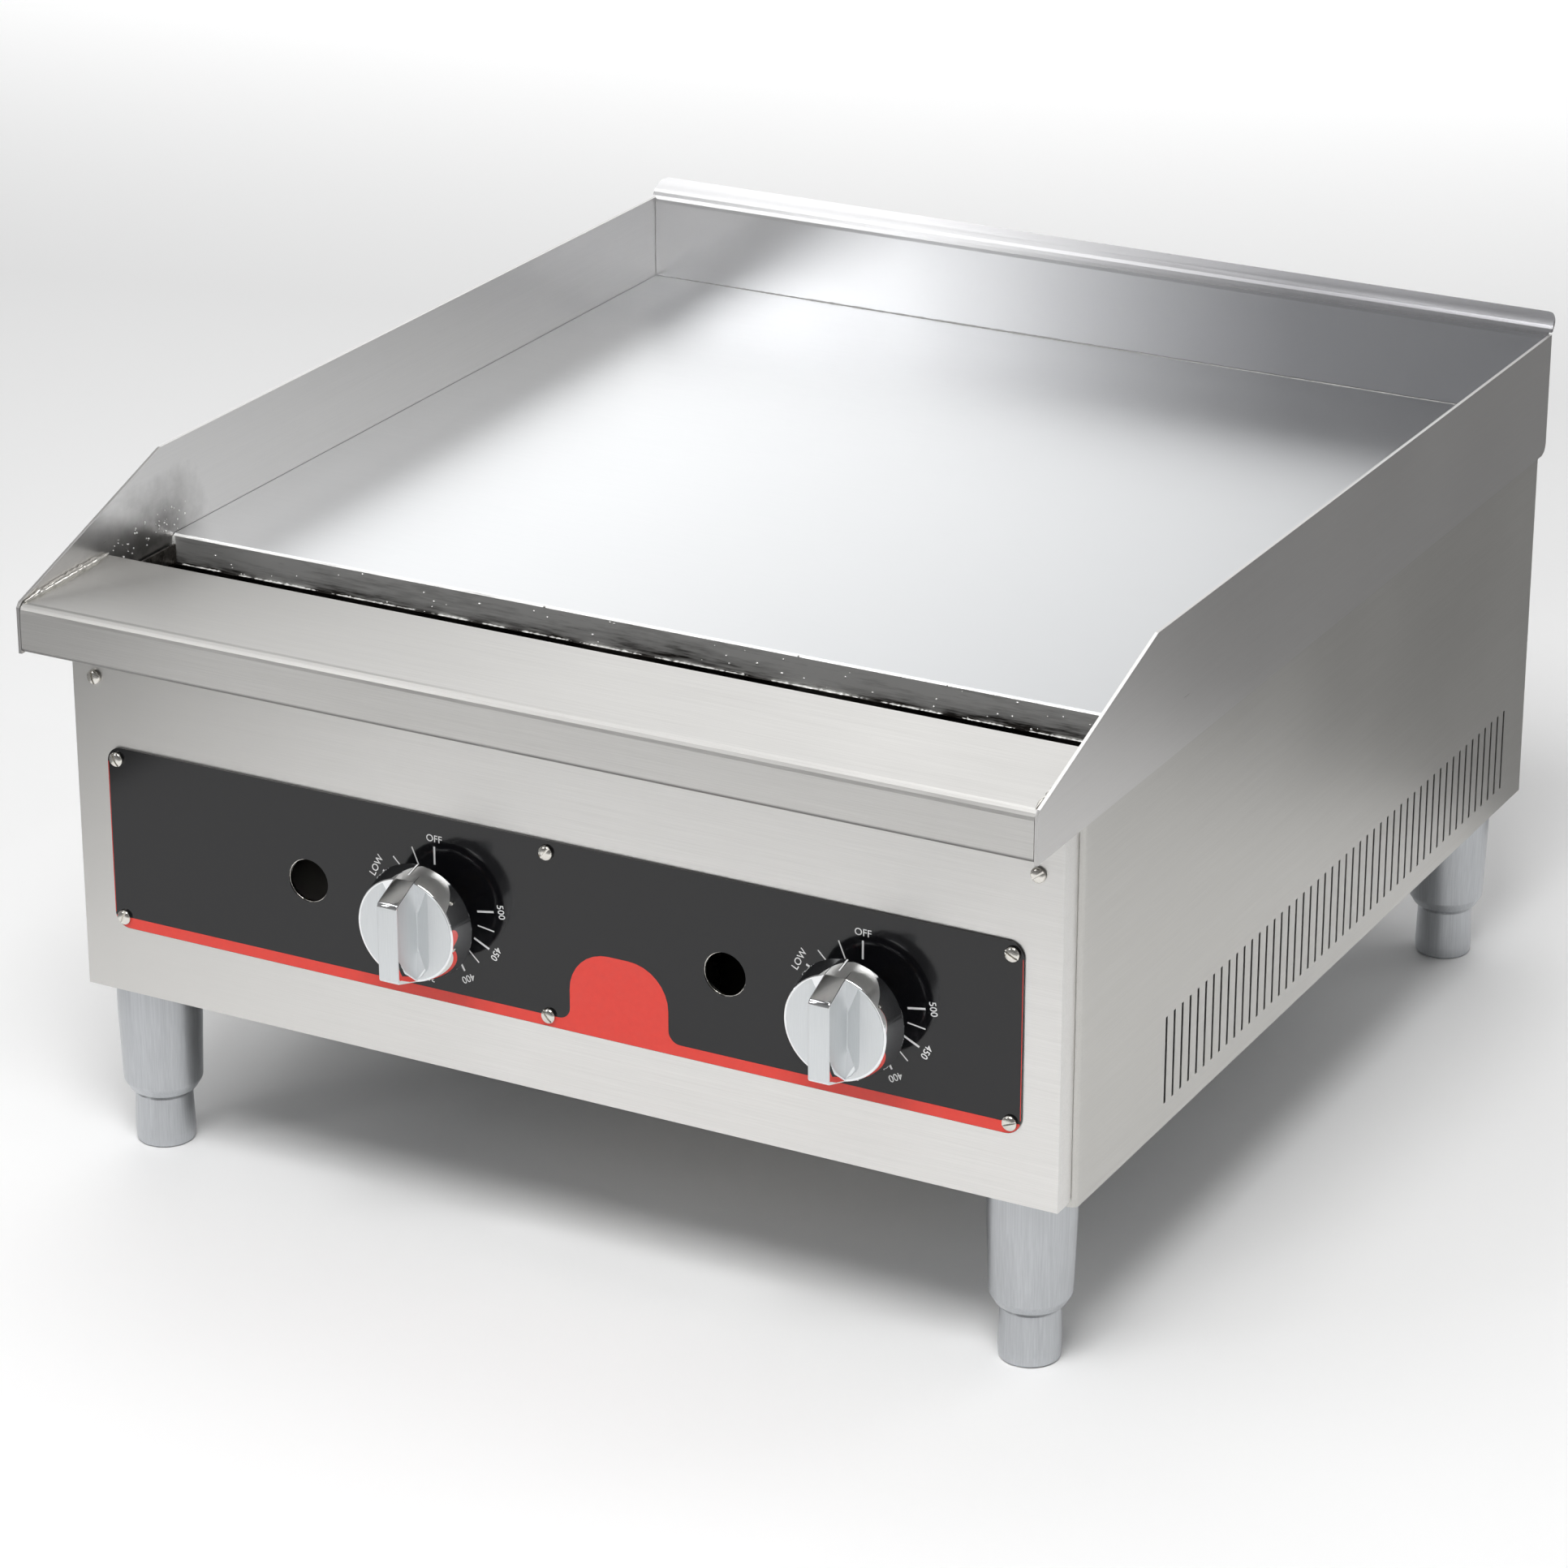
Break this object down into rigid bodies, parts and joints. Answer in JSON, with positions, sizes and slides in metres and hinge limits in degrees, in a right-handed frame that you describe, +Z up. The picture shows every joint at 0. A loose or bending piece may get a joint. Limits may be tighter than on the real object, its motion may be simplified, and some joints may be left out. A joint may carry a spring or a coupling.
{
  "type": "countertop gas griddle",
  "caption": "Flat top gas griddle on adjustable legs, with splash guards, a front ledge and grease trough, a dark control strip with thermostat knobs, and a grease tray below.",
  "frame": {"origin": "centre of the footprint of the whole griddle, at the surface the feet stand on", "axes": "+X to the right for a cook facing the controls, +Y from the controls towards the back, +Z up"},
  "size_m": [0.6096, 0.716, 0.3985],
  "materials": {
    "stainless_sheet": "brushed",
    "cooking_plate": "polished, lightly ground",
    "control_overlay": "gloss",
    "screws": "nickel plated",
    "knobs": "polished skirt, satin face",
    "legs": "satin nickel",
    "feet": "satin nickel",
    "galvanised_sheet": "galvanised",
    "burner_iron": "as cast",
    "gas_pipe": "black pipe",
    "brass_fittings": "machined",
    "aluminium_fittings": "as drawn",
    "sensing_bulb": "satin"
  },
  "bodies": {
    "chassis": {"griddle_plate": "cooking_plate", "left_splash_guard": "stainless_sheet", "right_splash_guard": "stainless_sheet", "back_splash_guard": "stainless_sheet", "front_ledge": "stainless_sheet", "grease_trough": "stainless_sheet", "grease_chute": "stainless_sheet", "left_tray_rail": "galvanised_sheet", "right_tray_rail": "galvanised_sheet", "control_panel": "stainless_sheet", "control_overlay": "control_overlay", "overlay_screw_lower_left": "screws", "overlay_screw_lower_middle": "screws", "overlay_screw_lower_right": "screws", "overlay_screw_upper_left": "screws", "overlay_screw_upper_middle": "screws", "overlay_screw_upper_right": "screws", "panel_screw_left": "screws", "panel_screw_right": "screws", "left_side_panel": "stainless_sheet", "right_side_panel": "stainless_sheet", "rear_panel": "stainless_sheet", "left_leg_rail": "galvanised_sheet", "right_leg_rail": "galvanised_sheet", "front_cross_rail": "galvanised_sheet", "rear_cross_rail": "galvanised_sheet", "firewall": "galvanised_sheet", "heat_shield": "galvanised_sheet", "left_plate_support": "galvanised_sheet", "right_plate_support": "galvanised_sheet", "gas_manifold": "gas_pipe", "gas_supply_pipe": "gas_pipe", "pressure_regulator": "aluminium_fittings", "left_burner": "burner_iron", "left_burner_orifice": "brass_fittings", "left_burner_supply_tube": "aluminium_fittings", "left_pilot_burner": "brass_fittings", "left_pilot_tube": "aluminium_fittings", "left_thermostat": "brass_fittings", "left_sensing_bulb": "sensing_bulb", "right_burner": "burner_iron", "right_burner_orifice": "brass_fittings", "right_burner_supply_tube": "aluminium_fittings", "right_pilot_burner": "brass_fittings", "right_pilot_tube": "aluminium_fittings", "right_thermostat": "brass_fittings", "right_sensing_bulb": "sensing_bulb", "front_left_leg": "legs", "rear_left_leg": "legs", "front_right_leg": "legs", "rear_right_leg": "legs"},
    "left_knob": {"left_knob": "knobs", "left_thermostat_stem": "brass_fittings"},
    "right_knob": {"right_knob": "knobs", "right_thermostat_stem": "brass_fittings"},
    "grease_tray": {"grease_tray": "stainless_sheet"},
    "front_left_foot": {"front_left_foot": "feet"},
    "rear_left_foot": {"rear_left_foot": "feet"},
    "front_right_foot": {"front_right_foot": "feet"},
    "rear_right_foot": {"rear_right_foot": "feet"}
  },
  "joints": [
    {"name": "left_knob_turn", "type": "hinge", "parent": "chassis", "child": "left_knob", "pos_m": [-0.0694, -0.33, 0.195], "axis": [0, -1, 0], "range_deg": [0, 280]},
    {"name": "right_knob_turn", "type": "hinge", "parent": "chassis", "child": "right_knob", "pos_m": [0.1879, -0.33, 0.195], "axis": [0, -1, 0], "range_deg": [0, 280]},
    {"name": "grease_tray_slide", "type": "slide", "parent": "chassis", "child": "grease_tray", "axis": [0, -1, 0], "range_m": [0, 0.35]},
    {"name": "front_left_foot_adjust", "type": "slide", "parent": "chassis", "child": "front_left_foot", "axis": [0, 0, -1], "range_m": [0, 0.025]},
    {"name": "rear_left_foot_adjust", "type": "slide", "parent": "chassis", "child": "rear_left_foot", "axis": [0, 0, -1], "range_m": [0, 0.025]},
    {"name": "front_right_foot_adjust", "type": "slide", "parent": "chassis", "child": "front_right_foot", "axis": [0, 0, -1], "range_m": [0, 0.025]},
    {"name": "rear_right_foot_adjust", "type": "slide", "parent": "chassis", "child": "rear_right_foot", "axis": [0, 0, -1], "range_m": [0, 0.025]}
  ]
}
